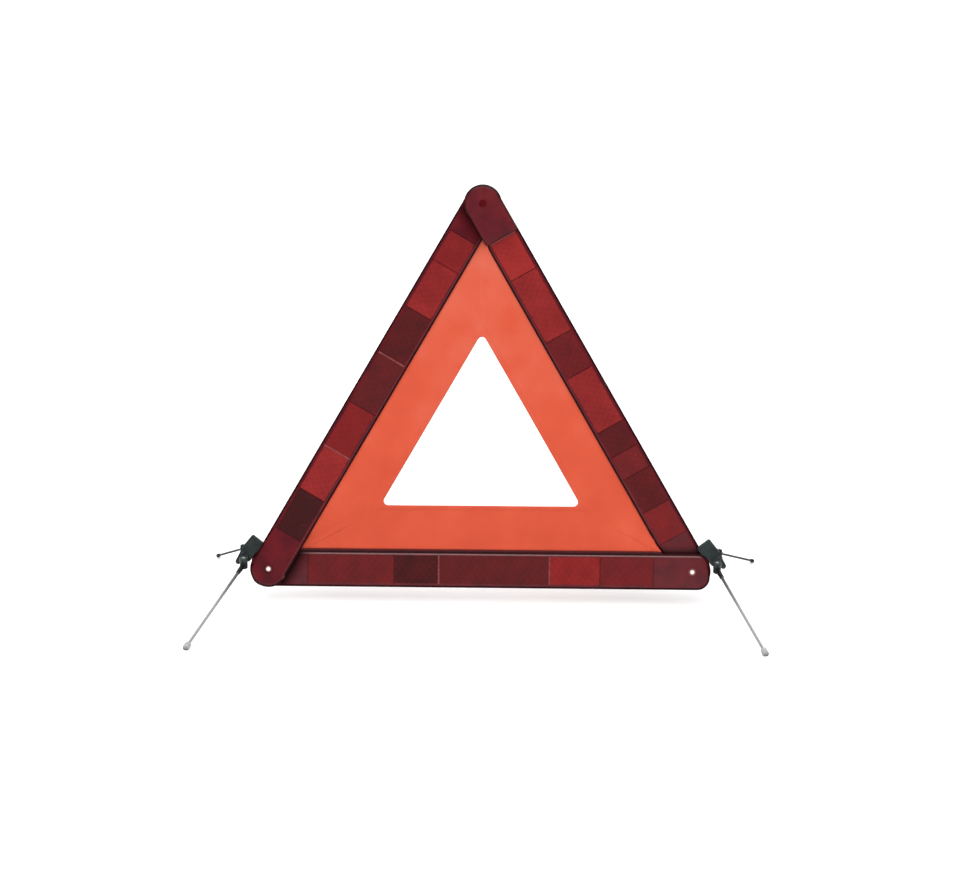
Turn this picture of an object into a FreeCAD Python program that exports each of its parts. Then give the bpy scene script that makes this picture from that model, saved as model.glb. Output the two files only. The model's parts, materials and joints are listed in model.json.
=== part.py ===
import FreeCAD, Part
import math
import os
from FreeCAD import Rotation, Vector

# Folding warning triangle on four wire legs. Millimetres, +Z up, front of the sign towards -Y.
# The origin is on the ground, under the middle of the base arm.
#
# The sign is built upright in its own frame: X to the right, Z up the sign, Y through its thickness,
# with the two corner rivets on the X axis. place_sign() then lifts it and leans it back.

# ---- driving dimensions -------------------------------------------------------------------
sign_side = 500.0          # side of the triangle between its sharp, theoretical corners
arm_width = 37.0
lean_angle = 7.0           # the sign leans back on its legs
rivet_height = 37.0        # corner rivets above the ground

base_thickness = 6.0
side_thickness = 5.4       # left and right arms
layer_gap = 0.3            # between the base arm and a side arm at the rivets
apex_gap = 0.6             # between the two side arms where they meet at the apex

lens_thickness = 2.2
bevel_width = 3.2          # sloping border round the front of a lens
bevel_depth = 0.9
shell_wall = 1.6
rear_wall = 1.2
prism_depth = 0.8          # reflex prisms stand on the inner face of a lens
field_gap = 0.8
groove_width = 0.7         # shallow groove across a lens between two fields
groove_depth = 0.25
# Borders of the moulded prism fields, along each arm from its corner rivet (base: the left one).
base_borders = [40, 129, 175, 289, 341, 396]
left_borders = [41, 89, 140, 192, 251, 306, 361, 396]
right_borders = [40, 77, 117, 143, 172, 236, 279, 352, 396]
base_overhang = 18.0       # base arm beyond its rivets
base_corner_radius = 13.0
lobe_radius = 19.0         # rounded ends of the side arms
crown_radius = 19.4        # rounded top of the apex cap
pivot_boss_radius = 7.0    # solid round each pivot inside a side arm's shell

rivet_radius = 2.5
rivet_head_radius = 3.6
rivet_head_height = 1.3
rivet_head_round = 1.2
rivet_head_gap = 0.1       # between a rivet head and the arm that turns under it
sunk_head_radius = 4.0
sunk_head_depth = 1.2
running_clearance = 0.07   # radial, where one piece turns on another
seat_clearance = 0.02      # radial, where a piece is seated in another

band_width = 47.8          # fluorescent band between an arm and the open centre
opening_corner_radius = 4.5
fabric_thickness = 0.4
rail_height = 2.2          # clamp rail on top of the base arm
rail_thickness = 2.4
rail_floor = 0.4           # rail below its slot
slot_play = 0.2
rail_length = 372.0

stiffener_length = 350.0
stiffener_width = 16.0
stiffener_thickness = 1.0

cap_thickness = 2.0        # apex cap in front of the left arm
cap_length = 40.0          # apex cap down the line of the right arm
cap_ramp = 6.0
cap_ramp_end = 1.2         # from the arms' joint plane to the thin end of the ramp
stud_recess = 1.0          # round recess in the cap for the stud's head
stud_head_thickness = 0.6
socket_radius = 4.5
socket_sink = 0.1          # socket ring below both faces of the right arm

foot_spread = 287.0        # feet either side of the middle
foot_reach = 187.0         # feet in front of and behind the sign
front_foot_radius = 3.2
front_foot_length = 7.5    # from the foot's centre back up the leg
rear_foot_radius = 1.9
rear_foot_length = 8.0
foot_toe = 1.6             # from the foot's centre to its end
foot_rounding = 0.7
foot_flat = 0.3            # worn away underneath, so that each foot has a flat to stand on
foot_wall = 0.8            # end of the wire to the end of the foot
front_wire_radius = 1.55
rear_wire_radius = 1.1
sleeve_reach = 19.0        # black sleeve on a wire, from its hinge
front_sleeve_radius = 2.6
rear_sleeve_radius = 2.2
sleeve_narrowing = 0.85    # its outer end against its root

hub_radius = 4.0
hub_height = 7.0
hub_gap = 0.3
hub_clearance = 0.5        # round the hub, in the bracket
boss_radius = 4.5
boss_height = 4.0
pin_radius = 1.5
pin_head_radius = 2.6
pin_head_height = 1.0
pin_head_gap = 0.1         # between the pin's head and the hub
wire_root = 2.6            # inner end of a wire from its hinge
hinge_depth = 14.5         # leg hinges in front of and behind the middle of the sign
front_hinge_out = 25.0     # hinges outward from the nearest rivet, and above it
front_hinge_up = 5.0
rear_hinge_out = 27.0
rear_hinge_up = 18.0

# Leg brackets, as (outward, up) from the nearest rivet.
tongue_half_width = 6.5
tongue_end = (18.0, 20.0)
tongue_play = 0.1          # between the tongue and the walls in front of it and behind it
cheek_corners = [(7.0, 24.4), (16.6, 31.8), (26.8, 19.2), (21.2, 8.4)]      # centres of its rounded corners
cheek_corner_radius = 2.0
cheek_half_thickness = 2.6
cheek_gap = 0.3            # between the cheek and the end of the base arm
beam_corners = [(20.8, 9.9), (29.0, 9.9), (29.5, 13.7), (20.8, 13.7)]
lug_root = (26.6, 16.4)    # stop lug
lug_tip = (31.9, 6.2)
lug_radius = 2.9

# ---- dimensions that follow ---------------------------------------------------------------
pivot_side = sign_side - arm_width * math.sqrt(3)
half_base = pivot_side / 2
half_width = arm_width / 2
apex_height = pivot_side * math.sqrt(3) / 2
triangle_centre = pivot_side / (2 * math.sqrt(3))     # above the rivets
inner_face = base_thickness / 2 + layer_gap           # side arm's inner face from the middle plane
arm_tilt = math.degrees(math.atan((inner_face - apex_gap / 2) / apex_height))

X_AXIS = Vector(1, 0, 0)
Y_AXIS = Vector(0, 1, 0)
ORIGIN = Vector(0, 0, 0)


# ---- small tools --------------------------------------------------------------------------
def prism(face_or_wire, front, back):
    """A flat outline in the XZ plane, carried through the thickness from front to back."""
    face = face_or_wire if face_or_wire.ShapeType == "Face" else Part.Face(face_or_wire)
    face = face.copy()
    face.translate(Vector(0, front, 0))
    return face.extrude(Vector(0, back - front, 0))


def polygon(points):
    """Closed outline in the XZ plane from (x, z) corners."""
    corners = [Vector(x, 0, z) for x, z in points]
    return Part.makePolygon(corners + corners[:1])


def rod(radius, start, end):
    return Part.makeCylinder(radius, (end - start).Length, start, end - start)


def taper(start_radius, end_radius, start, end):
    return Part.makeCone(start_radius, end_radius, (end - start).Length, start, end - start)


def box(x_start, x_end, front, back, bottom, top):
    return Part.makeBox(x_end - x_start, back - front, top - bottom, Vector(x_start, front, bottom))


def through(x, z, radius, front, back):
    """Round bar through the thickness of the sign."""
    return rod(radius, Vector(x, front, z), Vector(x, back, z))


def fuse(shapes):
    body = shapes[0]
    for shape in shapes[1:]:
        body = body.fuse(shape)
    return body.removeSplitter()


def largest_solid(shape):
    return max(shape.Solids, key=lambda solid: solid.Volume)


def place_sign(shape):
    """Carries a shape from the sign's own upright frame to where the sign stands."""
    moved = shape.copy()
    moved.rotate(ORIGIN, X_AXIS, -lean_angle)
    moved.translate(Vector(0, 0, rivet_height))
    return moved


def place_point(point):
    return Rotation(X_AXIS, -lean_angle).multVec(point) + Vector(0, 0, rivet_height)


def place_left_arm(shape):
    """From the arm's flat frame (pivot at the origin, arm along +X) to the left side."""
    moved = shape.copy()
    moved.rotate(ORIGIN, Y_AXIS, -60)
    moved.rotate(ORIGIN, X_AXIS, -arm_tilt)
    moved.translate(Vector(-half_base, -inner_face, 0))
    return place_sign(moved)


def place_right_arm(shape):
    moved = shape.copy()
    moved.rotate(ORIGIN, Y_AXIS, -120)
    moved.rotate(ORIGIN, X_AXIS, arm_tilt)
    moved.translate(Vector(half_base, inner_face, 0))
    return place_sign(moved)


def save(name, shape):
    shape.exportStep("parts/" + name + ".step")


# ---- arms ---------------------------------------------------------------------------------
def arm_outline(length, start_radius, end_radius, inset):
    """Arm from x = 0 to length, ending in lobes a little wider than itself (end_radius 0: square end)."""
    half = half_width - inset
    start_run = math.sqrt((start_radius - inset) ** 2 - half ** 2)
    lower_start, upper_start = Vector(start_run, 0, -half), Vector(start_run, 0, half)
    start = Part.Arc(upper_start, Vector(inset - start_radius, 0, 0), lower_start).toShape()
    if end_radius:
        end_run = length - math.sqrt((end_radius - inset) ** 2 - half ** 2)
        lower_end, upper_end = Vector(end_run, 0, -half), Vector(end_run, 0, half)
        end = Part.Arc(lower_end, Vector(length + end_radius - inset, 0, 0), upper_end).toShape()
    else:
        lower_end, upper_end = Vector(length - inset, 0, -half), Vector(length - inset, 0, half)
        end = Part.makeLine(lower_end, upper_end)
    lower_side = Part.makeLine(lower_start, lower_end)
    upper_side = Part.makeLine(upper_end, upper_start)
    return Part.Wire([lower_side, end, upper_side, start])


def side_outline(inset=0.0):
    return arm_outline(pivot_side, lobe_radius, lobe_radius, inset)


def cap_outline(inset=0.0):
    return arm_outline(cap_length, crown_radius, 0, inset)


def base_outline(inset=0.0):
    """Rounded rectangle that reaches past both rivets."""
    core_end = half_base + base_overhang - base_corner_radius
    core_height = half_width - base_corner_radius
    core = Part.Face(polygon([(-core_end, -core_height), (core_end, -core_height),
                              (core_end, core_height), (-core_end, core_height)]))
    return core.makeOffset2D(base_corner_radius - inset).OuterWire


def sloping_border(outline, front):
    """Front of a lens or cap: from the full outline back at the bevel to a smaller one in front."""
    outer = outline()
    outer.translate(Vector(0, front + bevel_depth, 0))
    top = outline(bevel_width)
    top.translate(Vector(0, front, 0))
    return Part.makeLoft([outer, top], True, True)


def lens(outline, first_pivot, borders):
    """Front lens with a sloping border, prism fields behind and a groove at each field border."""
    body = fuse([prism(outline(), bevel_depth, lens_thickness), sloping_border(outline, 0)])
    half_field = half_width - bevel_width - shell_wall
    half_groove = half_width - bevel_width
    fields = []
    for border, next_border in zip(borders, borders[1:]):
        start = first_pivot + border + field_gap / 2
        end = first_pivot + next_border - field_gap / 2
        fields.append(box(start, end, lens_thickness, lens_thickness + prism_depth, -half_field, half_field))
    body = fuse([body] + fields)
    for border in borders:
        middle = first_pivot + border
        body = body.cut(box(middle - groove_width / 2, middle + groove_width / 2,
                            -1, groove_depth, -half_groove, half_groove))
    return body


def shell(outline, thickness, bosses):
    """Rear half of an arm: a shallow tray, with a solid boss round each pivot in the list."""
    tray = prism(outline(), lens_thickness, thickness)
    cavity = prism(outline(shell_wall), lens_thickness, thickness - rear_wall)
    body = tray.cut(cavity)
    for x in bosses:
        body = body.fuse(through(x, 0, pivot_boss_radius, lens_thickness, thickness))
    return body.removeSplitter()


def sunk_head(x, outer, inner, radius, clearance=0.0):
    """Countersunk rivet head, widest at its outer face."""
    return taper(radius + clearance, rivet_radius + clearance, Vector(x, outer, 0), Vector(x, inner, 0))


def base_arm():
    """Lens, shell and stiffener of the base arm, in the sign's frame."""
    front = -base_thickness / 2
    back = base_thickness / 2
    front_half = lens(base_outline, -half_base, base_borders)
    rear_half = shell(base_outline, base_thickness, [])
    strip_back = base_thickness - rear_wall
    stiffener = box(-stiffener_length / 2, stiffener_length / 2, strip_back - stiffener_thickness, strip_back,
                    -stiffener_width / 2, stiffener_width / 2)
    for piece in (front_half, rear_half, stiffener):
        piece.translate(Vector(0, front, 0))
    for x in (-half_base, half_base):
        bore = through(x, 0, rivet_radius + seat_clearance, front - 1, back + 1)
        front_half = front_half.cut(bore)
        rear_half = rear_half.cut(bore)
    left_seat = sunk_head(-half_base, back, back - sunk_head_depth, sunk_head_radius, seat_clearance)
    right_seat = sunk_head(half_base, front, front + sunk_head_depth, sunk_head_radius, seat_clearance)
    rear_half = rear_half.cut(left_seat)
    front_half = front_half.cut(right_seat)
    for side in (-1, 1):
        rear_half = rear_half.cut(tongue(side, seat_clearance))
    return front_half, rear_half, stiffener


def left_arm():
    """Lens and shell of the left arm in its flat frame, inner face on y = 0."""
    front_half = lens(side_outline, 0, left_borders)
    rear_half = shell(side_outline, side_thickness, [0, pivot_side])
    for piece in (front_half, rear_half):
        piece.translate(Vector(0, -side_thickness, 0))
    pivot_bore = through(0, 0, rivet_radius + running_clearance, -side_thickness - 1, 1)
    stud_bore = through(pivot_side, 0, rivet_radius + seat_clearance, -side_thickness - 1, 1)
    front_half = front_half.cut(pivot_bore).cut(stud_bore)
    rear_half = rear_half.cut(pivot_bore).cut(stud_bore)
    rear_half = rear_half.cut(sunk_head(pivot_side, 0, -sunk_head_depth, sunk_head_radius, seat_clearance))
    return front_half, rear_half


def right_arm():
    """Lens and shell of the right arm in its flat frame, inner face on y = 0."""
    front_half = lens(side_outline, 0, right_borders)
    rear_half = shell(side_outline, side_thickness, [0, pivot_side])
    pivot_bore = through(0, 0, rivet_radius + running_clearance, -1, side_thickness + 1)
    socket_bore = through(pivot_side, 0, socket_radius + seat_clearance, -1, side_thickness + 1)
    return front_half.cut(pivot_bore).cut(socket_bore), rear_half.cut(pivot_bore).cut(socket_bore)


# ---- apex ---------------------------------------------------------------------------------
def apex_cap():
    """Shoe on the left arm's tip, shaped like the end of the right arm. Left arm's flat frame."""
    front = -side_thickness - cap_thickness
    body = fuse([prism(cap_outline(), front + bevel_depth, 0), sloping_border(cap_outline, front)])
    ramp_profile = Part.makePolygon([Vector(cap_length - cap_ramp, front - 1, -arm_width),
                                     Vector(cap_length + 1, front - 1, -arm_width),
                                     Vector(cap_length + 1, -cap_ramp_end, -arm_width),
                                     Vector(cap_length - cap_ramp, front, -arm_width),
                                     Vector(cap_length - cap_ramp, front - 1, -arm_width)])
    body = body.cut(Part.Face(ramp_profile).extrude(Vector(0, 0, 2 * arm_width)))
    body.rotate(ORIGIN, Y_AXIS, 120)
    body.translate(Vector(pivot_side, 0, 0))
    body = body.cut(prism(side_outline(-2 * seat_clearance), -side_thickness, 1))
    body = body.cut(through(pivot_side, 0, rivet_radius + seat_clearance, front - 1, 1))
    dimple = through(pivot_side, 0, sunk_head_radius + seat_clearance, front - 1, front + stud_recess)
    return largest_solid(body.cut(dimple))


def apex_stud():
    """Stud that holds the cap, with a sunk round head in front and a flush one behind."""
    front = -side_thickness - cap_thickness
    head_back = front + stud_recess
    head = through(pivot_side, 0, sunk_head_radius, head_back - stud_head_thickness, head_back)
    shank = through(pivot_side, 0, rivet_radius, head_back, 0)
    tail = sunk_head(pivot_side, 0, -sunk_head_depth, sunk_head_radius)
    return fuse([head, shank, tail])


def apex_socket():
    """Spring socket ring in the right arm's tip."""
    ring = through(pivot_side, 0, socket_radius, socket_sink, side_thickness - socket_sink)
    return ring.cut(through(pivot_side, 0, rivet_radius + running_clearance, -1, side_thickness + 1))


# ---- corner rivets ------------------------------------------------------------------------
def domed_head(x, face, outward):
    """Round rivet head on a face, bulging towards outward (-1 front, +1 rear)."""
    top = face + outward * rivet_head_height
    head = through(x, 0, rivet_head_radius, min(face, top), max(face, top))
    rim = [edge for edge in head.Edges
           if edge.Closed and abs(edge.BoundBox.YMin - top) < 0.01 and abs(edge.BoundBox.YMax - top) < 0.01]
    return head.makeFillet(rivet_head_round, rim)


def corner_rivet(side):
    """Rivet through the base arm and one side arm; flush where the other arm folds over it."""
    head_face = side * (inner_face + side_thickness + rivet_head_gap)
    sunk_face = -side * base_thickness / 2
    x = side * half_base
    shank = through(x, 0, rivet_radius, min(head_face, sunk_face), max(head_face, sunk_face))
    tail = sunk_head(x, sunk_face, sunk_face + side * sunk_head_depth, sunk_head_radius)
    return fuse([shank, domed_head(x, head_face, side), tail])


# ---- fluorescent panel --------------------------------------------------------------------
def band_triangle(distance):
    """Equilateral outline at a distance inside the line of the three pivots."""
    reach = 2 * (triangle_centre - distance)
    corners = []
    for angle in (90, 210, 330):
        corners.append((reach * math.cos(math.radians(angle)),
                        triangle_centre + reach * math.sin(math.radians(angle))))
    return polygon(corners)


def warning_panel():
    outer = band_triangle(half_width)
    core = Part.Face(band_triangle(half_width + band_width + opening_corner_radius))
    opening = core.makeOffset2D(opening_corner_radius)
    sheet = prism(outer, -fabric_thickness / 2, fabric_thickness / 2)
    sheet = sheet.cut(prism(opening, -1, 1))
    return sheet.cut(box(-half_base, half_base, -1, 1, half_width, half_width + rail_floor + slot_play))


def panel_rail():
    """Clamp rail along the top of the base arm, slotted for the panel's lower edge."""
    half_length = rail_length / 2
    half_slot = (fabric_thickness + slot_play) / 2
    top = half_width + rail_height
    rail = box(-half_length, half_length, -rail_thickness / 2, rail_thickness / 2, half_width, top)
    return rail.cut(box(-half_length, half_length, -half_slot, half_slot, half_width + rail_floor, top))


# ---- leg brackets -------------------------------------------------------------------------
def outline_out(side, points):
    """Closed outline from (outward, up) corners measured from a corner rivet."""
    return polygon([(side * (half_base + out), up) for out, up in points])


def tongue(side, clearance=0.0):
    """Tongue of a leg bracket, held by the corner rivet between lens and shell."""
    front = -base_thickness / 2 + lens_thickness + tongue_play - clearance
    back = base_thickness / 2 - rear_wall - tongue_play + clearance
    half_tongue = tongue_half_width + clearance
    out, up = tongue_end
    across_out = up / math.hypot(out, up) * half_tongue
    across_up = out / math.hypot(out, up) * half_tongue
    bar = outline_out(side, [(across_out, -across_up), (out + across_out, up - across_up),
                             (out - across_out, up + across_up), (-across_out, across_up)])
    disc = through(side * half_base, 0, half_tongue, front, back)
    return prism(bar, front, back).fuse(disc)


def point_out(side, out_up):
    """Point in the middle plane of the sign, from its (outward, up) distances to a corner rivet."""
    return Vector(side * (half_base + out_up[0]), 0, out_up[1])


def cheek(side):
    """Flat lug of a leg bracket, rounded, that fits closely round the end of the base arm."""
    core = Part.Face(outline_out(side, cheek_corners))
    body = prism(core.makeOffset2D(cheek_corner_radius), -cheek_half_thickness, cheek_half_thickness)
    return body.cut(prism(base_outline(-cheek_gap), -base_thickness, base_thickness))


def leg_bracket(side):
    """Tongue, cheek, cross beam, two hinge bosses and the stop lug, in the sign's frame."""
    beam = prism(outline_out(side, beam_corners), -hinge_depth, hinge_depth)
    root, tip = point_out(side, lug_root), point_out(side, lug_tip)
    lug = fuse([rod(lug_radius, root, tip), Part.makeSphere(lug_radius, tip)])
    body = fuse([tongue(side), cheek(side), beam, lug])
    for rear in (False, True):
        hinge, axis = leg_hinge(side, rear)
        outward = -1 if rear else 1
        half_space = axis * (hub_height / 2 + hub_gap)
        boss_start = hinge + half_space * outward
        boss = rod(boss_radius, boss_start, boss_start + axis * (outward * boss_height))
        hub_space = rod(hub_radius + hub_clearance, hinge - half_space, hinge + half_space)
        pin_reach = axis * (hub_height + boss_height)
        pin_bore = rod(pin_radius + seat_clearance, hinge - pin_reach, hinge + pin_reach)
        body = body.fuse(boss).cut(hub_space).cut(pin_bore)
    body = body.removeSplitter()
    rivet_bore = through(side * half_base, 0, rivet_radius + seat_clearance, -base_thickness, base_thickness)
    return largest_solid(body.cut(rivet_bore))


# ---- legs ---------------------------------------------------------------------------------
def leg_points(side, rear):
    """Hinge centre and foot centre of a spread leg, where the sign stands."""
    if rear:
        hinge = Vector(side * (half_base + rear_hinge_out), hinge_depth, rear_hinge_up)
        foot = Vector(side * foot_spread, foot_reach, rear_foot_radius - foot_flat)
    else:
        hinge = Vector(side * (half_base + front_hinge_out), -hinge_depth, front_hinge_up)
        foot = Vector(side * foot_spread, -foot_reach, front_foot_radius - foot_flat)
    return place_point(hinge), foot


def leg_axis(side, rear):
    """Upward hinge axis, square to the spread leg and to the leg folded along the base."""
    hinge, foot = leg_points(side, rear)
    axis = (foot - hinge).cross(X_AXIS)
    axis.normalize()
    return axis if axis.z > 0 else axis * -1


def leg_hinge(side, rear):
    """Hinge centre and axis of a leg in the sign's own upright frame."""
    hinge, foot = leg_points(side, rear)
    turn_back = Rotation(X_AXIS, lean_angle)
    return (turn_back.multVec(hinge - Vector(0, 0, rivet_height)), turn_back.multVec(leg_axis(side, rear)))


def foot_cap(foot, along, radius, length):
    """Soft round cap on the end of a leg, with a small flat to stand on."""
    back, toe = foot - along * length, foot + along * foot_toe
    cap = rod(radius, back, toe)
    rims = [edge for edge in cap.Edges if edge.Closed]
    cap = cap.makeFillet(foot_rounding, rims)
    return cap.cut(box(foot.x - length, foot.x + length, foot.y - length, foot.y + length, -length, 0))


def leg_pieces(side, rear):
    """Hub with sleeve, hinge pin, wire and foot cap of one spread leg, where the sign stands."""
    wire_radius = rear_wire_radius if rear else front_wire_radius
    sleeve_radius = rear_sleeve_radius if rear else front_sleeve_radius
    foot_radius = rear_foot_radius if rear else front_foot_radius
    foot_length = rear_foot_length if rear else front_foot_length
    hinge, foot = leg_points(side, rear)
    axis = leg_axis(side, rear)
    along = foot - hinge
    along.normalize()
    wire_start = hinge + along * wire_root
    wire_end = foot + along * (foot_toe - foot_wall)
    half_hub = axis * (hub_height / 2)

    sleeve_end = hinge + along * sleeve_reach
    sleeve = taper(sleeve_radius, sleeve_radius * sleeve_narrowing, hinge + along, sleeve_end)
    hub = fuse([rod(hub_radius, hinge - half_hub, hinge + half_hub), sleeve])
    hub = hub.cut(rod(pin_radius + running_clearance, hinge - half_hub * 2, hinge + half_hub * 2))
    play = along * seat_clearance
    wire_bore = rod(wire_radius + seat_clearance, wire_start - play, wire_end + play)
    hub = hub.cut(wire_bore)

    towards_boss = axis * (-1 if rear else 1)
    pin_top = hinge + towards_boss * (hub_height / 2 + hub_gap + boss_height)
    pin_bottom = hinge - towards_boss * (hub_height / 2 + pin_head_gap)
    pin_head = rod(pin_head_radius, pin_bottom - towards_boss * pin_head_height, pin_bottom)
    pin = fuse([rod(pin_radius, pin_bottom, pin_top), pin_head])

    wire = rod(wire_radius, wire_start, wire_end)
    cap = foot_cap(foot, along, foot_radius, foot_length).cut(wire_bore)
    return hub, pin, wire, cap


# ---- the whole sign -----------------------------------------------------------------------
os.makedirs("parts", exist_ok=True)

base_lens, base_shell, base_stiffener = base_arm()
save("base_lens", place_sign(base_lens))
save("base_shell", place_sign(base_shell))
save("base_stiffener", place_sign(base_stiffener))
save("panel_rail", place_sign(panel_rail()))
save("warning_panel", place_sign(warning_panel()))

left_lens, left_shell = left_arm()
save("left_arm_lens", place_left_arm(left_lens))
save("left_arm_shell", place_left_arm(left_shell))
save("apex_cap", place_left_arm(apex_cap()))
save("apex_stud", place_left_arm(apex_stud()))

right_lens, right_shell = right_arm()
save("right_arm_lens", place_right_arm(right_lens))
save("right_arm_shell", place_right_arm(right_shell))
save("apex_socket", place_right_arm(apex_socket()))

for side, side_name in ((-1, "left"), (1, "right")):
    save(side_name + "_corner_rivet", place_sign(corner_rivet(side)))
    save(side_name + "_leg_bracket", place_sign(leg_bracket(side)))
    for rear, end_name in ((False, "front"), (True, "rear")):
        leg_name = side_name + "_" + end_name + "_leg"
        for piece_name, piece in zip(("hub", "pin", "wire", "foot"), leg_pieces(side, rear)):
            save(leg_name + "_" + piece_name, piece)
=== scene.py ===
import json
import math

import bmesh
import bpy
import numpy as np
from mathutils import Matrix, Vector


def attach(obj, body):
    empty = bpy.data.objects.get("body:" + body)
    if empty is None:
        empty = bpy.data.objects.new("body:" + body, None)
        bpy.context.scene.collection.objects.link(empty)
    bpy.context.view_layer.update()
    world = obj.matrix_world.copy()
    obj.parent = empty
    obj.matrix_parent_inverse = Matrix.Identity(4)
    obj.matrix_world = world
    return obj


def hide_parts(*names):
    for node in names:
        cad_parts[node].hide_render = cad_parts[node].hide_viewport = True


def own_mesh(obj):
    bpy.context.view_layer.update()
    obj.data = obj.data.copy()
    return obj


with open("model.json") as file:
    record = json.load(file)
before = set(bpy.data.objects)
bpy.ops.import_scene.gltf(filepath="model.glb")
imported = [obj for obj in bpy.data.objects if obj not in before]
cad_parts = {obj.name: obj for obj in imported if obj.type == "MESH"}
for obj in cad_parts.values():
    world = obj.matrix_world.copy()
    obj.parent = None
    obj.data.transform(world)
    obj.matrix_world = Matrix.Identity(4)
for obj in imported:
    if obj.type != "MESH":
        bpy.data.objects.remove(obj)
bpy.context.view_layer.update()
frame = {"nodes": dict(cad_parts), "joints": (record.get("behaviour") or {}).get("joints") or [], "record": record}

# A folding warning triangle: looks for the CAD frame. Metres, front of the sign towards -Y.
#
# Sign frame: X to the right, Y rearwards through the sign, Z up the leaning sign, with its origin
# between the two corner rivets. Arm frames: X along the arm from its corner rivet, Y rearwards.

MM = 0.001
ARM_WIDTH = 37 * MM
HALF_ARM = ARM_WIDTH / 2
LOBE_RADIUS = 19 * MM            # rounded ends of a side arm
BASE_OVERHANG = 18 * MM          # base arm beyond its rivets
BASE_CORNER = 13 * MM
BASE_FRONT = -3.0 * MM           # front face of the base arm, from the middle plane of the sign
SIDE_THICKNESS = 5.4 * MM        # of a side arm, from its inner face

BEVEL = 3.2 * MM                 # width of the sloping border of a lens
BEVEL_DEPTH = 0.9 * MM
CELL = 1.35 * MM                 # from the middle of a hexagonal prism cell to its corners
RELIEF = 0.12 * MM               # how far prisms and ribs stand proud, inside the gap between two arms
ROOT = 0.05 * MM                 # how far prisms and ribs reach into the lens
MERGE = 0.01 * MM                # points of two cells that are closer than this are one
FIELD_GAP = 0.4 * MM             # plain lens on each side of a border between two prism fields
FIELD_MARGIN = 1.0 * MM          # plain lens between a prism field and the sloping border
RIB_HALF_WIDTH = 1.1 * MM
RIB_MARGIN = 0.4 * MM

# Prism fields along each arm: where the first one starts, then (where the field ends, tone 0 to 1).
# Distances are in mm from the left rivet on the base arm, and from its own rivet on a side arm.
# the tones are painted reflection: how brightly each field's prisms reflect the light
BASE_FIELDS = (40, (129, 0.40), (175, 0.08), (289, 0.28), (341, 0.78), (396, 0.46))
LEFT_FIELDS = (41, (89, 0.0), (140, 0.84), (192, 0.66), (251, 0.28), (306, 0.19), (361, 0.78), (396, 0.68))
RIGHT_FIELDS = (40, (77, 0.58), (117, 0.27), (143, 0.45), (172, 0.24), (236, 0.79), (279, 0.40),
                (352, 0.80), (396, 1.0))
BASE_RIBS = (175, 289)           # borders with a raised light rib, in mm from the same rivets
LEFT_RIBS = (140, 251)
RIGHT_RIBS = (394.6,)

SHADE_REACH = 17 * MM            # soft dark band on a lens beside the arm or cap that overlaps it
SHADE_DEPTH = 0.66               # share of the light that is lost right beside it
SHADED_LENGTH = 62 * MM          # length of that band on each side of the overlapping arm's end

BAND_WIDTH = 47.8 * MM           # fluorescent border between the arms and the opening
OPENING_CORNER = 4.5 * MM        # radius of the opening's corners
RAIL_TOP = HALF_ARM + 2.2 * MM
CROSSING = RAIL_TOP + 9 * MM     # height at which the sheet's side edges pass the faces of the side arms
TUCKED = CROSSING + 25 * MM      # height from which they are fully tucked in
TUCK = 4.0 * MM                  # how far the sheet reaches into a side arm
LEFT_OVERLAP = 2.6 * MM          # most that the sheet's lower corners lie over the faces of the side arms
RIGHT_OVERLAP = 1.2 * MM
CLOTH_HALF = 0.2 * MM            # half thickness of the sheet
HEM_HALF = 0.36 * MM             # half thickness of the hem round the opening
HEM_EDGE_HALF = 0.12 * MM        # the same at the hem's thin edge
HEM = 0.075                      # width of the hem, as a share of the sheet's width there
HEM_STEP = 0.004                 # width over which the hem's thickness changes, as such a share
RINGS = 16                       # rings of points between the hem and the sheet's outer edge
SIDE_POINTS = 108                # points along each side of the sheet


# ---- frames -------------------------------------------------------------------------------
def frame_matrix(origin, x_direction, rearward):
    """Frame with its X and Y directions given. Its Z is square to both."""
    x = Vector(x_direction).normalized()
    y = Vector(rearward).normalized()
    z = x.cross(y)
    turn = Matrix((x, y, z)).transposed().to_4x4()
    return Matrix.Translation(origin) @ turn


def arm_matrix(pivot, axis, degrees):
    """Frame of a side arm that leans from its corner rivet at an angle to the base arm."""
    along = Matrix.Rotation(math.radians(-degrees), 3, axis) @ ACROSS
    return frame_matrix(pivot, along, axis)


joints = {joint["name"]: joint for joint in frame["joints"]}
left_pivot = Vector(joints["left_arm_fold"]["pos_m"])
right_pivot = Vector(joints["right_arm_fold"]["pos_m"])
left_axis = Vector(joints["left_arm_fold"]["axis"])
right_axis = -Vector(joints["right_arm_fold"]["axis"])
pivot_side = (right_pivot - left_pivot).x
half_base = pivot_side / 2
triangle_height = pivot_side * math.sqrt(3) / 2
triangle_centre = pivot_side / (2 * math.sqrt(3))

ACROSS = Vector((1, 0, 0))
SIGN = frame_matrix((left_pivot + right_pivot) / 2, ACROSS, left_axis + right_axis)
LEFT_ARM = arm_matrix(left_pivot, left_axis, 60)
RIGHT_ARM = arm_matrix(right_pivot, right_axis, 120)
BASE_ARM = SIGN @ Matrix.Translation((-half_base, 0, 0))
layer_offset = (SIGN.inverted() @ right_pivot).y        # side arm's inner face from the middle plane

# Arm frames moved to the front faces of the lenses.
BASE_FACE = BASE_ARM @ Matrix.Translation((0, BASE_FRONT, 0))
LEFT_FACE = LEFT_ARM @ Matrix.Translation((0, -SIDE_THICKNESS, 0))
RIGHT_FACE = RIGHT_ARM           # it lies behind the base arm, so its inner face is the front one


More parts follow.
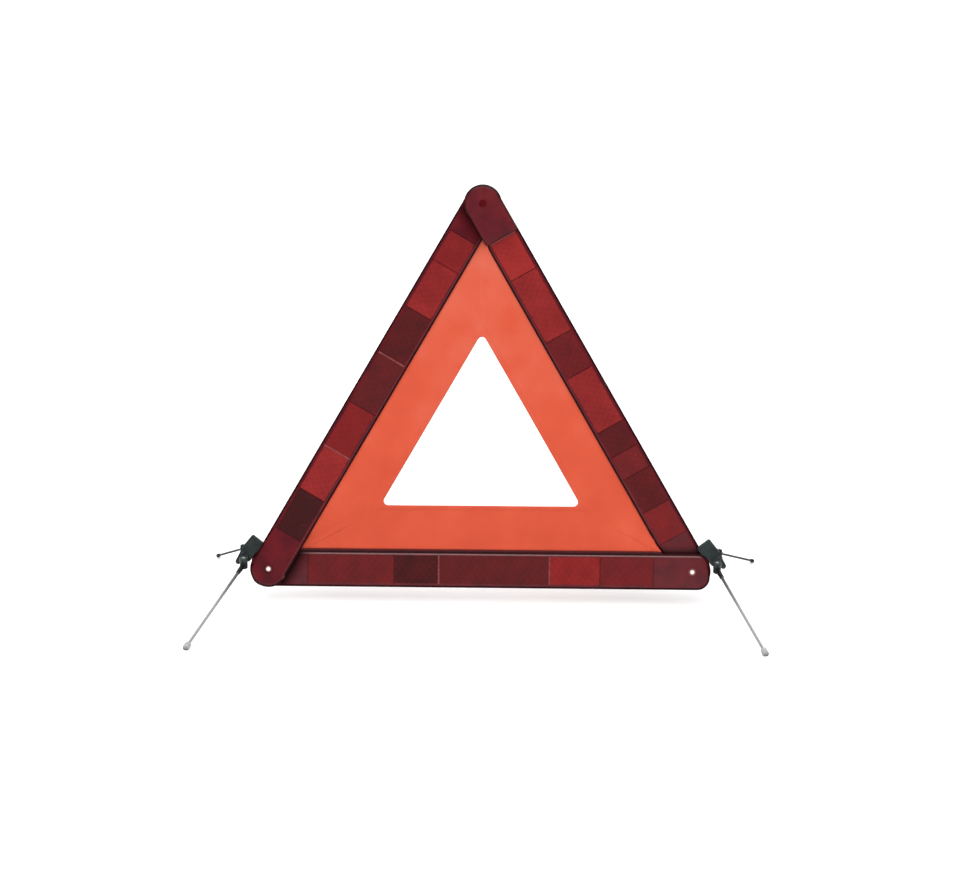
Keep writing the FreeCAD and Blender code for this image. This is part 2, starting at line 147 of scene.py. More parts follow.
# ---- materials ----------------------------------------------------------------------------
class Surface:
    """A procedural material, built node by node."""

    def __init__(self, name):
        self.material = bpy.data.materials.new(name)
        self.material.use_nodes = True
        self.nodes = self.material.node_tree.nodes
        self.links = self.material.node_tree.links
        self.shader = self.nodes["Principled BSDF"]
        self.position = self.nodes.new("ShaderNodeTexCoord").outputs["Object"]
        self.normal = None

    def set(self, socket, value):
        """Sets a shader input to a number or colour, or links an output to it."""
        if isinstance(value, bpy.types.NodeSocket):
            self.links.new(value, self.shader.inputs[socket])
        elif isinstance(value, (tuple, list)):
            self.shader.inputs[socket].default_value = (*value, 1.0)
        else:
            self.shader.inputs[socket].default_value = value

    def node(self, kind, inputs, **settings):
        made = self.nodes.new("ShaderNode" + kind)
        for name, value in settings.items():
            setattr(made, name, value)
        for name, value in inputs.items():
            if isinstance(value, bpy.types.NodeSocket):
                self.links.new(value, made.inputs[name])
            else:
                made.inputs[name].default_value = value
        return made

    def noise(self, scale, detail, stretch=(1, 1, 1)):
        """Noise from 0 to 1 over the object, with features about 1 / scale metres across."""
        mapping = self.node("Mapping", {"Vector": self.position, "Scale": stretch})
        inputs = {"Vector": mapping.outputs["Vector"], "Scale": scale, "Detail": detail}
        return self.node("TexNoise", inputs).outputs["Fac"]

    def ramp(self, factor, stops):
        """A colour found from a number by its (place, colour) stops."""
        made = self.node("ValToRGB", {"Fac": factor})
        elements = made.color_ramp.elements
        while len(elements) < len(stops):
            elements.new(0.5)
        for element, (place, colour) in zip(elements, stops):
            element.position = place
            element.color = (*colour, 1.0)
        return made.outputs["Color"]

    def math(self, operation, a, b=0.0):
        return self.node("Math", {0: a, 1: b}, operation=operation).outputs["Value"]

    def vector_math(self, operation, a, b, output):
        return self.node("VectorMath", {0: a, 1: b}, operation=operation).outputs[output]

    def hypotenuse(self, a, b):
        squares = self.math("ADD", self.math("POWER", a, 2), self.math("POWER", b, 2))
        return self.math("SQRT", squares)

    def between(self, factor, low, high, start=0.0, end=1.0, curve="LINEAR"):
        """A number that runs from low to high as factor runs from start to end, and stays there."""
        inputs = {"Value": factor, "From Min": start, "From Max": end, "To Min": low, "To Max": high}
        return self.node("MapRange", inputs, interpolation_type=curve).outputs["Result"]

    def axis_of(self, vector, axis):
        return self.node("SeparateXYZ", {"Vector": vector}).outputs[axis]

    def darkened(self, colour, share):
        """A colour multiplied by a share from 0 to 1."""
        inputs = {"Factor": 1.0, "A": colour, "B": share}
        return self.node("Mix", inputs, data_type="RGBA", blend_type="MULTIPLY").outputs["Result"]

    def place_on_arm(self, arm):
        """Distances along an arm from its pivot and across it from its centre line."""
        from_pivot = self.vector_math("SUBTRACT", self.position, arm.translation[:], "Vector")
        turn = arm.to_3x3()
        along = self.vector_math("DOT_PRODUCT", from_pivot, turn.col[0][:], "Value")
        across = self.vector_math("DOT_PRODUCT", from_pivot, turn.col[2][:], "Value")
        return along, across

    def shade_beside(self, arm, side, end):
        """Share of light left beside the end of an arm that lies over this piece: 1 in the open. The end is
        at a distance along the arm, and side is 1 or -1 for the side across it that is shaded."""
        along, across = self.place_on_arm(arm)
        beside = self.math("SUBTRACT", self.math("MULTIPLY", across, side), HALF_ARM)
        fade = self.between(beside, SHADE_DEPTH, 0.0, end=SHADE_REACH, curve="SMOOTHSTEP")
        outside = self.math("GREATER_THAN", beside, 0.0)
        from_end = self.math("ABSOLUTE", self.math("SUBTRACT", along, end))
        close = self.math("LESS_THAN", from_end, SHADED_LENGTH)
        dark = self.math("MULTIPLY", self.math("MULTIPLY", fade, outside), close)
        return self.math("SUBTRACT", 1.0, dark)

    def finish_lens(self, colour, specular, coat):
        """Sets colour and gloss of a lens, with painted shade that makes it all duller under and beside overlaps.
        """
        painted_shade_reach = 24 * MM
        # painted shade: darker where ambient occlusion finds nearby parts, and in dark bands beside the cap and
        # the left arm
        near = self.node("AmbientOcclusion", {"Distance": painted_shade_reach}, samples=8).outputs["AO"]
        open_air = self.between(near, 0.2, 1.0, start=0.55, end=0.96)
        beside_cap = self.shade_beside(RIGHT_ARM, 1, pivot_side)
        beside_left_arm = self.shade_beside(LEFT_ARM, -1, 0.0)
        share = self.math("MULTIPLY", self.math("MULTIPLY", open_air, beside_cap), beside_left_arm)
        self.set("Base Color", self.darkened(colour, share))
        self.set("Specular IOR Level", self.math("MULTIPLY", share, specular))
        self.set("Coat Weight", self.math("MULTIPLY", share, coat))

    def bump(self, height, distance, strength=1.0):
        """Adds a relief to the shading, on top of those added before."""
        inputs = {"Height": height, "Distance": distance, "Strength": strength}
        if self.normal is not None:
            inputs["Normal"] = self.normal
        self.normal = self.node("Bump", inputs).outputs["Normal"]
        self.set("Normal", self.normal)


def lens_rim_surface():
    """Clear dark red acrylic over a dark housing: the smooth parts of a lens."""
    made = Surface("lens_rim")
    colour = made.ramp(made.noise(60, 4), [(0.3, (0.056, 0.0050, 0.0095)), (0.7, (0.104, 0.0070, 0.0105))])
    made.finish_lens(colour, specular=0.08, coat=0.25)
    made.set("Roughness", made.between(made.noise(900, 4), 0.14, 0.26))
    made.set("Coat Roughness", 0.04)
    made.bump(made.noise(2500, 2), 0.01 * MM, 0.3)
    return made.material


def prism_surface():
    """Reflex prisms seen through red acrylic; each face carries its own tone from 0 to 1, a painted reflection of
    how brightly its field's prisms catch the light.
    """
    made = Surface("reflex_prisms")
    painted_reflection_tone = made.node("Attribute", {}, attribute_name="painted_reflection_tone").outputs["Fac"]
    cloud = made.between(made.noise(60, 3), -0.20, 0.20)
    grain = made.between(made.noise(1400, 2), -0.06, 0.06)
    shade = made.math("ADD", made.math("ADD", painted_reflection_tone, cloud), grain)
    stops = [(0.0, (0.034, 0.0055, 0.0060)), (0.35, (0.087, 0.0075, 0.0090)),
             (0.7, (0.157, 0.0095, 0.0105)), (1.0, (0.235, 0.0170, 0.0160))]
    made.finish_lens(made.ramp(shade, stops), specular=0.08, coat=0.08)
    made.set("Roughness", made.between(made.noise(500, 3), 0.18, 0.32))
    made.set("Coat Roughness", 0.08)
    return made.material


def rib_surface():
    """Raised rib between two prism fields, lighter than the lens: partly its own moulding, partly a painted
    highlight along it.
    """
    made = Surface("weld_rib")
    # painted highlight: the light colour also stands in for the glint along the rib
    colour = made.ramp(made.noise(220, 3), [(0.3, (0.12, 0.024, 0.026)), (0.7, (0.21, 0.048, 0.046))])
    made.set("Base Color", colour)
    made.set("Roughness", made.between(made.noise(900, 3), 0.3, 0.45))
    made.set("Specular IOR Level", 0.15)
    return made.material


def moulded_surface(name, dark, light, roughness, grain, cloud_scale=90, gloss=0.18, edge_shade=None):
    """Moulded plastic: slow colour drift, fine spark-eroded grain and rubbed patches."""
    made = Surface(name)
    colour = made.ramp(made.noise(cloud_scale, 5), [(0.3, dark), (0.72, light)])
    if edge_shade is not None:
        colour = made.darkened(colour, edge_shade(made))
    made.set("Base Color", colour)
    made.set("Roughness", made.between(made.noise(260, 4), roughness - 0.1, roughness + 0.12))
    made.set("Specular IOR Level", gloss)
    made.bump(made.noise(2600, 3), grain)
    return made.material


def cap_edge_shade(made):
    """Dark line along the outline of the apex cap, which follows the right arm and its round end."""
    along, across = made.place_on_arm(RIGHT_ARM)
    beyond = made.math("MAXIMUM", made.math("SUBTRACT", along, pivot_side), 0.0)
    return made.between(made.hypotenuse(beyond, across), 1.0, 0.2, start=16.6 * MM, end=18.3 * MM)


def fabric_surface():
    """Coated plain-weave cloth in fluorescent orange-red, with painted light that makes it paler upwards, woven
    along the sign.
    """
    made = Surface("fluorescent_fabric")
    turn = made.node("Mapping", {"Vector": made.position, "Rotation": (SIGN.to_euler().x, 0, 0)})
    upright = turn.outputs["Vector"]
    height = made.axis_of(upright, "Z")
    thread = 2 * math.pi / (0.9 * MM)
    warp = made.math("SINE", made.math("MULTIPLY", made.axis_of(upright, "X"), thread))
    weft = made.math("SINE", made.math("MULTIPLY", height, thread))
    weave = made.math("MULTIPLY", warp, weft)
    # painted light: the sheet is lighter towards the apex, where more light falls on it
    painted_light_upwards = made.between(height, 0.0, 0.42, start=120 * MM, end=380 * MM)
    cloud = made.math("ADD", made.noise(22, 4), painted_light_upwards)
    stops = [(0.3, (0.490, 0.060, 0.025)), (0.6, (0.540, 0.072, 0.031)), (1.0, (0.575, 0.108, 0.062))]
    thread_tint = made.between(weave, 0.95, 1.0)
    made.set("Base Color", made.darkened(made.ramp(cloud, stops), thread_tint))
    made.set("Roughness", made.between(made.noise(300, 3), 0.55, 0.7))
    made.set("Specular IOR Level", 0.2)
    made.set("Sheen Weight", 0.04)
    made.set("Sheen Roughness", 0.4)
    made.bump(weave, 0.06 * MM, 0.6)
    made.bump(made.noise(45, 3), 1.2 * MM, 0.18)
    return made.material


def metal_surface(name, metallic, roughness, streak=(1, 1, 1)):
    """Drawn or plated metal with fine streaks in its gloss and relief; its colour is set later."""
    made = Surface(name)
    made.set("Metallic", metallic)
    made.set("Roughness", made.between(made.noise(1500, 4, streak), roughness * 0.6, roughness * 1.5))
    made.bump(made.noise(4000, 2, streak), 0.01 * MM)
    return made


def steel_surface():
    """Galvanised steel with dull patches."""
    made = metal_surface("galvanised_steel", metallic=1.0, roughness=0.35)
    colour = made.ramp(made.noise(400, 4), [(0.3, (0.35, 0.35, 0.343)), (0.7, (0.50, 0.50, 0.49))])
    made.set("Base Color", colour)
    return made.material


def leg_wire_surface():
    """Drawn spring wire, darker near the sleeve with painted shade from the bracket, and grey towards the foot
    with a painted reflection of the bright floor.
    """
    made = metal_surface("leg_wire", metallic=0.35, roughness=0.3, streak=(1, 0.05, 0.3))
    # painted light: darker higher up in the bracket's shade, lighter lower down where the wire reflects the floor
    height = made.between(made.axis_of(made.position, "Z"), 0.0, 1.0, start=24 * MM, end=42 * MM)
    cloud = made.math("ADD", height, made.between(made.noise(120, 3), -0.25, 0.25))
    stops = [(0.05, (0.34, 0.36, 0.375)), (0.45, (0.20, 0.205, 0.22)), (0.9, (0.070, 0.062, 0.072))]
    made.set("Base Color", made.ramp(cloud, stops))
    return made.material


def rivet_surface():
    """Corner rivets: a painted highlight, bright in the middle of a head with a ragged edge, dull red lacquer
    round it.
    """
    made = metal_surface("rivet_metal", metallic=0.25, roughness=0.35)
    sideways, height = made.place_on_arm(SIGN)
    across = made.math("SUBTRACT", made.math("ABSOLUTE", sideways), half_base)
    share = made.math("DIVIDE", made.hypotenuse(across, height), 3.6 * MM)
    painted_highlight_fade = made.math("ADD", share, made.between(made.noise(900, 3), -0.12, 0.12))
    # painted highlight: the bright middle of each head stands in for the glint of the light on it
    made.set("Base Color", made.ramp(painted_highlight_fade, [(0.42, (0.95, 0.88, 0.84)), (0.72, (0.13, 0.025, 0.028))]))
    return made.material


def foot_surface():
    """Soft translucent vinyl, darker near the floor."""
    made = Surface("foot_vinyl")
    colour = made.ramp(made.noise(300, 4), [(0.3, (0.42, 0.43, 0.43)), (0.7, (0.60, 0.61, 0.60))])
    # darker within a few mm of the floor
    darker_near_floor = made.between(made.axis_of(made.position, "Z"), 0.22, 1.0, start=0.5 * MM, end=4.5 * MM)
    made.set("Base Color", made.darkened(colour, darker_near_floor))
    made.set("Roughness", 0.35)
    made.set("Transmission Weight", 0.35)
    made.set("IOR", 1.45)
    made.set("Subsurface Weight", 0.2)
    made.set("Subsurface Scale", 2 * MM)
    made.bump(made.noise(1200, 3), 0.05 * MM)
    return made.material


MATERIALS = {
    "reflex_lens": lens_rim_surface(),
    "arm_shell": moulded_surface("arm_shell", dark=(0.048, 0.0045, 0.0064), light=(0.064, 0.0058, 0.0080),
                                 roughness=0.42, grain=0.03 * MM),
    "apex_cap": moulded_surface("apex_cap", dark=(0.060, 0.006, 0.011), light=(0.110, 0.010, 0.014),
                                roughness=0.3, grain=0.02 * MM, cloud_scale=60, gloss=0.10,
                                edge_shade=cap_edge_shade),
    "stud_plastic": moulded_surface("stud_plastic", dark=(0.050, 0.002, 0.003), light=(0.074, 0.003, 0.005),
                                    roughness=0.5, grain=0.02 * MM, gloss=0.03),
    "bracket_plastic": moulded_surface("bracket_plastic", dark=(0.004, 0.007, 0.009),
                                       light=(0.016, 0.029, 0.026), roughness=0.36, grain=0.05 * MM,
                                       cloud_scale=110, gloss=0.3),
    "hub_plastic": moulded_surface("hub_plastic", dark=(0.003, 0.004, 0.005), light=(0.010, 0.012, 0.013),
                                   roughness=0.4, grain=0.04 * MM),
    "galvanised_steel": steel_surface(),
    "rivet_metal": rivet_surface(),
    "leg_wire": leg_wire_surface(),
    "dark_leg_wire": moulded_surface("dark_leg_wire", dark=(0.003, 0.005, 0.007),
                                     light=(0.009, 0.012, 0.016), roughness=0.5, grain=0.02 * MM,
                                     gloss=0.04),
    "dark_foot_cap": moulded_surface("dark_foot_cap", dark=(0.005, 0.007, 0.009),
                                     light=(0.014, 0.018, 0.020), roughness=0.5, grain=0.04 * MM,
                                     gloss=0.06),
    "foot_cap": foot_surface(),
}
PRISMS = prism_surface()
RIBS = rib_surface()
EDGES = moulded_surface("edge_band", dark=(0.010, 0.0008, 0.0018), light=(0.024, 0.0020, 0.0035),
                        roughness=0.45, grain=0.02 * MM, gloss=0.05)
FABRIC = fabric_surface()


def paint_frame():
    """Gives every CAD node the material of its slot, except the flat panel, which the sheet replaces."""
    slots = {entry["node"]: entry["material_slot"] for entry in frame["record"]["subparts"]}
    for name, node in frame["nodes"].items():
        if slots[name] in MATERIALS:
            node.data.materials.clear()
            node.data.materials.append(MATERIALS[slots[name]])


def round_edges(names, width):
    """Small moulded roundings on CAD pieces."""
    for name in names:
        node = frame["nodes"][name]
        weld = node.modifiers.new("weld", "WELD")
        weld.merge_threshold = 0.002 * MM
        bevel = node.modifiers.new("rounding", "BEVEL")
        bevel.width = width
        bevel.segments = 2
        bevel.limit_method = "ANGLE"
        bevel.angle_limit = math.radians(38)
        bevel.harden_normals = True


# ---- mesh tools ---------------------------------------------------------------------------
def new_piece(name, work, place, body, material):
    """Puts a finished mesh in its place, as a piece that rides on a body."""
    work.transform(place)
    mesh = bpy.data.meshes.new(name)
    work.to_mesh(mesh)
    work.free()
    mesh.materials.append(material)
    piece = bpy.data.objects.new(name, mesh)
    bpy.context.scene.collection.objects.link(piece)
    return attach(piece, body)


def close_relief(work, floor_y):
    """Turns an open relief sheet into a thin closed slab that ends on the plane y = floor_y."""
    border = [edge for edge in work.edges if edge.is_boundary]
    grown = bmesh.ops.extrude_edge_only(work, edges=border)["geom"]
    skirt = [item for item in grown if isinstance(item, bmesh.types.BMVert)]
    for vertex in skirt:
        vertex.co.y = floor_y
    rim = [edge for edge in work.edges if edge.is_boundary]
    bmesh.ops.holes_fill(work, edges=rim)
    bmesh.ops.recalc_face_normals(work, faces=work.faces)


def bridge(work, here, there):
    """Joins two closed rings of as many points with four-cornered faces."""
    count = len(here)
    for i in range(count):
        j = (i + 1) % count
        work.faces.new((here[i], here[j], there[j], there[i]))


# ---- reflex prisms ------------------------------------------------------------------------
def hexagon_cell(work, centre_x, centre_z, flipped):
    """One cube-corner cell: three flat rhombi that meet in its middle."""
    middle = work.verts.new((centre_x, 0, centre_z))
    corners = []
    for number in range(6):
        angle = math.radians(60 * number + 30)
        high = (number % 2 == 0) != flipped
        rise = RELIEF if high else RELIEF / 2
        x = centre_x + CELL * math.cos(angle)
        z = centre_z + CELL * math.sin(angle)
        corners.append(work.verts.new((x, -rise, z)))
    start = 0 if flipped else 1
    for number in range(start, start + 6, 2):
        rhombus = [corners[(number + step) % 6] for step in range(3)]
        work.faces.new([middle] + rhombus)


def prism_field(start, end, painted_reflection_tone, flipped):
    """Mesh data of one field: its cells' middles lie on y = 0 and its relief is towards the front."""
    half = HALF_ARM - BEVEL - FIELD_MARGIN
    step_x = CELL * math.sqrt(3)
    step_z = CELL * 1.5
    rows = int(half / step_z) + 2
    columns = int((end - start) / step_x) + 3
    work = bmesh.new()
    # The cells reach past the field's borders, where they are cut off afterwards.
    for row in range(-rows, rows + 1):
        shift = step_x / 2 if row % 2 else 0
        for column in range(-1, columns):
            hexagon_cell(work, start + column * step_x + shift, row * step_z, flipped)
    bmesh.ops.remove_doubles(work, verts=work.verts, dist=MERGE)
    planes = (((start, 0, 0), (-1, 0, 0)), ((end, 0, 0), (1, 0, 0)),
              ((0, 0, -half), (0, 0, -1)), ((0, 0, half), (0, 0, 1)))
    for place, outward in planes:
        geometry = list(work.verts) + list(work.edges) + list(work.faces)
        bmesh.ops.bisect_plane(work, geom=geometry, dist=MERGE, plane_co=place, plane_no=outward,
                               clear_outer=True)
    close_relief(work, ROOT)
    # painted reflection: each face's tone stands in for how brightly its field's prisms reflect the light
    layer = work.faces.layers.float.new("painted_reflection_tone")
    for face in work.faces:
        middle = face.calc_center_median()
        drift = 0.05 * math.sin(middle.x * 900) * math.cos(middle.z * 700)     # patches of about 4 mm
        face[layer] = painted_reflection_tone + drift
    return work


def add_prisms(name, body, lens_face, fields):
    """All the prism fields of one arm as one piece, set into the front face of its lens."""
    joined = bmesh.new()
    joined.faces.layers.float.new("painted_reflection_tone")
    start = fields[0] * MM
    for number, (end_mm, painted_reflection_tone) in enumerate(fields[1:]):
        end = end_mm * MM
        field = prism_field(start + FIELD_GAP, end - FIELD_GAP, painted_reflection_tone, number % 2 == 1)
        mesh = bpy.data.meshes.new("field")
        field.to_mesh(mesh)
        field.free()
        joined.from_mesh(mesh)
        bpy.data.meshes.remove(mesh)
        start = end
    new_piece(name, joined, lens_face, body, PRISMS)


def add_ribs(name, body, lens_face, places):
    """Low rounded ribs across an arm at the given places (mm from its pivot)."""
    half_length = HALF_ARM - BEVEL - RIB_MARGIN
    angles = [math.radians(30 * step) for step in range(7)]
    work = bmesh.new()
    for place in places:
        ends = []
        for z in (-half_length, half_length):
            ends.append([work.verts.new((place * MM + RIB_HALF_WIDTH * math.cos(angle),
                                         ROOT - (RELIEF + ROOT) * math.sin(angle), z))
                         for angle in angles])
        low, high = ends
        bridge(work, low, high)
        work.faces.new(low)
        work.faces.new(list(reversed(high)))
    bmesh.ops.recalc_face_normals(work, faces=work.faces)
    new_piece(name, work, lens_face, body, RIBS)


# ---- housing rims -------------------------------------------------------------------------
def lobe_points(radius, half, turn, centre_x):
    """Points round one lobed end of a side arm; turn 1 for the far end, -1 for the pivot end."""
    steps = 24
    open_angle = math.asin(half / radius)
    points = []
    for step in range(steps + 1):
        angle = open_angle * (2 * step / steps - 1)
        points.append((centre_x + turn * radius * math.cos(angle), turn * radius * math.sin(angle)))
    return points


def side_arm_loop(inset):
    """Outline (x, z) of a side arm in its own frame, anticlockwise, at an inset from its edge."""
    radius = LOBE_RADIUS - inset
    half = HALF_ARM - inset
    return lobe_points(radius, half, 1, pivot_side) + lobe_points(radius, half, -1, 0)


def base_arm_loop(inset):
    """Outline (x, z) of the base arm, from its left rivet, anticlockwise, at an inset from its edge."""
    steps = 12
    radius = BASE_CORNER - inset
    reach = BASE_OVERHANG - BASE_CORNER
    rise = HALF_ARM - BASE_CORNER
    centres = ((pivot_side + reach, -rise), (pivot_side + reach, rise), (-reach, rise), (-reach, -rise))
    points = []
    for number, (x, z) in enumerate(centres):
        for step in range(steps + 1):
            angle = math.radians(90 * (number - 1) + 90 * step / steps)
            points.append((x + radius * math.cos(angle), z + radius * math.sin(angle)))
    return points


def slope_depth(inset):
    """Depth of a lens's sloping border behind its front face, at an inset from the outline."""
    return BEVEL_DEPTH * (1 - inset / BEVEL)


def add_edge_band(name, body, lens_face, loop):
    """Dark rim of the housing, wrapped round the sloping edge of a lens."""
    proud = 0.08 * MM             # outside the outline
    skin = 0.09 * MM              # in front of the slope
    root = 0.05 * MM              # behind the slope
    reach = 1.75 * MM             # how far the rim covers the slope
    back = 2.0 * MM
    hidden = 0.1 * MM             # inside the outline, and past its reach, in the lens
    # Once round the rim's section: (inset from the outline, depth behind the lens's front face).
    section = [(-proud, back), (-proud, 0.86 * MM), (0.05 * MM, 0.79 * MM),
               (reach, slope_depth(reach) - skin), (reach + hidden, slope_depth(reach + hidden) + root),
               (hidden, 1.0 * MM), (hidden, back)]
    work = bmesh.new()
    rings = []
    for inset, depth in section:
        rings.append([work.verts.new((x, depth, z)) for x, z in loop(inset)])
    for here, there in zip(rings, rings[1:] + rings[:1]):
        bridge(work, here, there)
    bmesh.ops.recalc_face_normals(work, faces=work.faces)
    new_piece(name, work, lens_face, body, EDGES)


# ---- fluorescent sheet --------------------------------------------------------------------
def heading(degrees):
    """Direction (x, z) in the plane of the sign, at an angle anticlockwise from its X."""
    angle = math.radians(degrees)
    return Vector((math.cos(angle), math.sin(angle)))


def triangle_loop(insets, corner_radius):
    """Points (x, z) round a triangle whose bottom, right and left sides lie at their own insets."""
    arc_steps = 6
    normals = [heading(270 + 120 * side) for side in range(3)]
    reaches = [triangle_centre - inset - corner_radius for inset in insets]
    centres = []
    for side in range(3):
        pair = Matrix((normals[side - 1], normals[side])).inverted()
        corner = pair @ Vector((reaches[side - 1], reaches[side]))
        centres.append(corner + Vector((0, triangle_centre)))
    points = []
    for side in range(3):
        here = centres[side]
        there = centres[(side + 1) % 3]
        for step in range(SIDE_POINTS):
            points.append(here.lerp(there, step / SIDE_POINTS) + normals[side] * corner_radius)
        for step in range(arc_steps):
            points.append(there + heading(270 + 120 * (side + step / arc_steps)) * corner_radius)
    return points


def smoothstep(value, low, high):
    share = min(1.0, max(0.0, (value - low) / (high - low)))
    return share * share * (3 - 2 * share)


def tuck_share(z):
    """How far the sheet's side edges reach into the side arms at a height: 0 near the rail to 1."""
    return smoothstep(z, CROSSING, TUCKED)


def edge_overlap(x, z):
    """How far the sheet's edge lies over the face of a side arm, between the rail and the crossing."""
    most = RIGHT_OVERLAP if x > 0 else LEFT_OVERLAP
    inside_rail = RAIL_TOP - 1.4 * MM
    growing = smoothstep(z, inside_rail, RAIL_TOP)
    return most * growing * (1 - smoothstep(z, RAIL_TOP, CROSSING))


def edge_depth(x, z):
    """Depth (y) at which the sheet's outer edge is held: in the rail, and inside each side arm."""
    past_middle = 0.3 * MM
    apex_half_width = 10 * MM
    inside_arm = layer_offset * (1 - z / triangle_height) + SIDE_THICKNESS / 2 + past_middle
    meeting = smoothstep(abs(x), 0, apex_half_width)
    side = 1 if x > 0 else -1
    rise = min(1.0, max(0.0, (z - RAIL_TOP) / (2 * (CROSSING - RAIL_TOP))))
    return side * inside_arm * rise * meeting


def held_edge():
    """Points (x, z) of the sheet's outer edge: in the rail below, and tucked into the side arms."""
    in_rail = HALF_ARM + 0.8 * MM
    in_arm = HALF_ARM - TUCK
    held = np.array(triangle_loop([in_rail, in_arm, in_arm], 0.05 * MM))
    for point in held:
        arm_edge = triangle_centre - HALF_ARM + edge_overlap(*point)
        normal = np.array([math.copysign(math.sqrt(3) / 2, point[0]), 0.5])
        beyond = float((point - np.array([0, triangle_centre])) @ normal) - arm_edge
        if beyond > 0:
            point -= normal * beyond * (1 - tuck_share(point[1]))
    return held


def neighbours(grid):
    """The four neighbours of every point of a ring grid. Across its free inner border a point meets its
    mirror image, so the second ring again, and across the outer border it meets itself."""
    return (np.roll(grid, 1, axis=1), np.roll(grid, -1, axis=1),
            np.concatenate([grid[1:2], grid[:-1]]), np.concatenate([grid[1:], grid[-1:]]))


def relaxed_depth(flat):
    """Depths of a taut sheet whose outermost ring is held and whose opening hangs free."""
    rounds = 4000
    shortest = 0.5 * MM
    depth = np.zeros(flat.shape[:2])
    depth[-1] = [edge_depth(x, z) for x, z in flat[-1]]
    pulls = [1 / np.maximum(np.linalg.norm(flat - other, axis=2), shortest) for other in neighbours(flat)]
    for _ in range(rounds):
        weighted = sum(pull * other for pull, other in zip(pulls, neighbours(depth)))
        depth[:-1] = (weighted / sum(pulls))[:-1]
    return depth


def ripples(flat, shares):
    """Slight waves of the sheet, from full at the opening (share 0) to none at its outer edge (share 1)."""
    height = 0.4 * MM
    wave = flat[:, :, 0] / (21 * MM) + 1.3 * np.sin(flat[:, :, 1] / (34 * MM))
    return height * (1 - shares[:, None]) * np.sin(wave)


def add_sheet():
    """Taut woven sheet between the three arms, with a welded hem round the open centre."""
    opening = np.array(triangle_loop([HALF_ARM + BAND_WIDTH] * 3, OPENING_CORNER))
    held = held_edge()
    outside_hem = [HEM + (1 - HEM) * ring / RINGS for ring in range(1, RINGS + 1)]
    shares = np.array([0.0, HEM_STEP, HEM, HEM + HEM_STEP] + outside_hem)
    flat = np.array([opening * (1 - share) + held * share for share in shares])
    depth = relaxed_depth(flat) + ripples(flat, shares)
    half_thickness = np.full(len(shares), CLOTH_HALF)
    half_thickness[0] = HEM_EDGE_HALF
    half_thickness[1:3] = HEM_HALF

    work = bmesh.new()
    layers = []
    for side in (-1, 1):
        layers.append([[work.verts.new((x, y + side * half, z)) for (x, z), y in zip(ring, ring_depth)]
                       for ring, ring_depth, half in zip(flat, depth, half_thickness)])
    front, back = layers
    for layer in layers:
        for here, there in zip(layer, layer[1:]):
            bridge(work, here, there)
    bridge(work, front[0], back[0])
    bridge(work, front[-1], back[-1])
    bmesh.ops.recalc_face_normals(work, faces=work.faces)
    for face in work.faces:
        face.smooth = True
    piece = new_piece("fabric_sheet", work, SIGN, "base_frame", FABRIC)
    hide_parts("warning_panel")
    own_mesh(piece)


# ---- stage --------------------------------------------------------------------------------
def add_floor():
    """Pale floor with a slight glow, as white as the backdrop."""
    mesh = bpy.data.meshes.new("floor")
    reach = 30.0
    corners = [(-reach, -reach, 0), (reach, -reach, 0), (reach, reach, 0), (-reach, reach, 0)]
    mesh.from_pydata(corners, [], [(0, 1, 2, 3)])
    made = Surface("floor")
    colour = made.ramp(made.noise(3, 3), [(0.3, (0.86, 0.86, 0.855)), (0.7, (0.88, 0.88, 0.875))])
    made.set("Base Color", colour)
    made.set("Roughness", 0.9)
    made.set("Specular IOR Level", 0.1)
    made.set("Emission Color", (1.0, 1.0, 1.0))
    made.set("Emission Strength", 0.28)
    mesh.materials.append(made.material)
    floor = bpy.data.objects.new("floor", mesh)
    bpy.context.scene.collection.objects.link(floor)


def add_world():
    """White backdrop for the camera, softer surroundings for everything else."""
    world = bpy.data.worlds.new("studio")
    bpy.context.scene.world = world
    world.use_nodes = True
    nodes = world.node_tree.nodes
    links = world.node_tree.links
    seen = nodes.new("ShaderNodeLightPath")
    mix = nodes.new("ShaderNodeMixShader")
    dim = nodes["Background"]
    dim.inputs["Color"].default_value = (0.95, 0.97, 1.0, 1)
    dim.inputs["Strength"].default_value = 0.25
    bright = nodes.new("ShaderNodeBackground")
    bright.inputs["Color"].default_value = (1, 1, 1, 1)
    bright.inputs["Strength"].default_value = 1.0
    links.new(seen.outputs["Is Camera Ray"], mix.inputs["Fac"])
    links.new(dim.outputs["Background"], mix.inputs[1])
    links.new(bright.outputs["Background"], mix.inputs[2])
    links.new(mix.outputs["Shader"], nodes["World Output"].inputs["Surface"])


def direction_to(azimuth, elevation):
    """Direction at an azimuth to the right of straight in front, and an elevation, in degrees."""
    turn = math.radians(azimuth)
    up = math.radians(elevation)
    return Vector((math.sin(turn) * math.cos(up), -math.cos(turn) * math.cos(up), math.sin(up)))


def add_sun(name, azimuth, elevation, strength, spread):
    """Soft light from far away."""
    data = bpy.data.lights.new(name, "SUN")
    data.energy = strength
    data.angle = math.radians(spread)
    light = bpy.data.objects.new(name, data)
    light.rotation_euler = direction_to(azimuth, elevation).to_track_quat("Z", "Y").to_euler()
    bpy.context.scene.collection.objects.link(light)


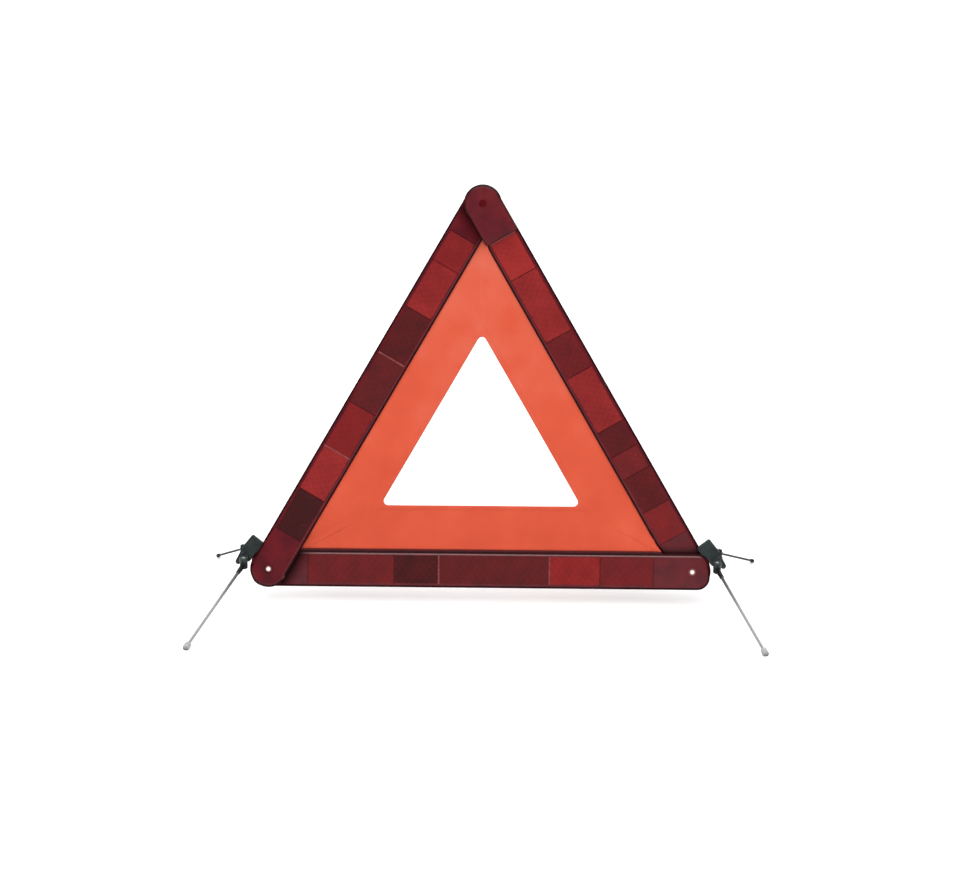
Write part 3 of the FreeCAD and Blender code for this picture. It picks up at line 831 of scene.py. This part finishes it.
def add_softbox(name, place, target, width, height, power):
    """Warm area light that faces a target."""
    data = bpy.data.lights.new(name, "AREA")
    data.shape = "RECTANGLE"
    data.size = width
    data.size_y = height
    data.energy = power
    data.color = (1.0, 0.84, 0.78)
    light = bpy.data.objects.new(name, data)
    light.location = place
    light.rotation_euler = (Vector(target) - Vector(place)).to_track_quat("-Z", "Y").to_euler()
    bpy.context.scene.collection.objects.link(light)


def add_camera():
    """Long lens a little above the sign and just to the right of its middle."""
    distance = 4.462
    target = Vector((0, 0, 0.2))
    back = direction_to(azimuth=1.46, elevation=12.45)
    data = bpy.data.cameras.new("camera")
    data.lens = 160.4
    data.shift_x = 0.0092
    data.shift_y = -0.0268
    data.clip_end = 100
    camera = bpy.data.objects.new("camera", data)
    facing = (-back).to_track_quat("-Z", "Y").to_matrix()
    roll = Matrix.Rotation(math.radians(0.21), 3, "Z")
    camera.matrix_world = Matrix.Translation(target + back * distance) @ (facing @ roll).to_4x4()
    bpy.context.scene.collection.objects.link(camera)
    bpy.context.scene.camera = camera


# ---- the whole sign -----------------------------------------------------------------------
paint_frame()
round_edges(["left_leg_bracket", "right_leg_bracket"], width=0.45 * MM)
round_edges([name for name in frame["nodes"] if name.endswith("_hub")], width=0.25 * MM)
arms = (("base", "base_frame", BASE_FACE, base_arm_loop, BASE_FIELDS, BASE_RIBS),
        ("left_arm", "left_arm", LEFT_FACE, side_arm_loop, LEFT_FIELDS, LEFT_RIBS),
        ("right_arm", "right_arm", RIGHT_FACE, side_arm_loop, RIGHT_FIELDS, RIGHT_RIBS))
for name, body, lens_face, outline, fields, ribs in arms:
    add_prisms(name + "_prisms", body, lens_face, fields)
    add_edge_band(name + "_edge_band", body, lens_face, outline)
    add_ribs(name + "_ribs", body, lens_face, ribs)
add_sheet()

add_floor()
add_world()
add_sun("front_sun", azimuth=-4, elevation=63, strength=3.0, spread=80)
add_sun("back_sun", azimuth=160, elevation=48, strength=0.9, spread=70)
add_softbox("front_softbox", place=(0, -2.5, 1.62), target=(0, 0, 0.1), width=1.7, height=0.5, power=20)
add_camera()
bpy.context.scene.view_settings.view_transform = "Standard"
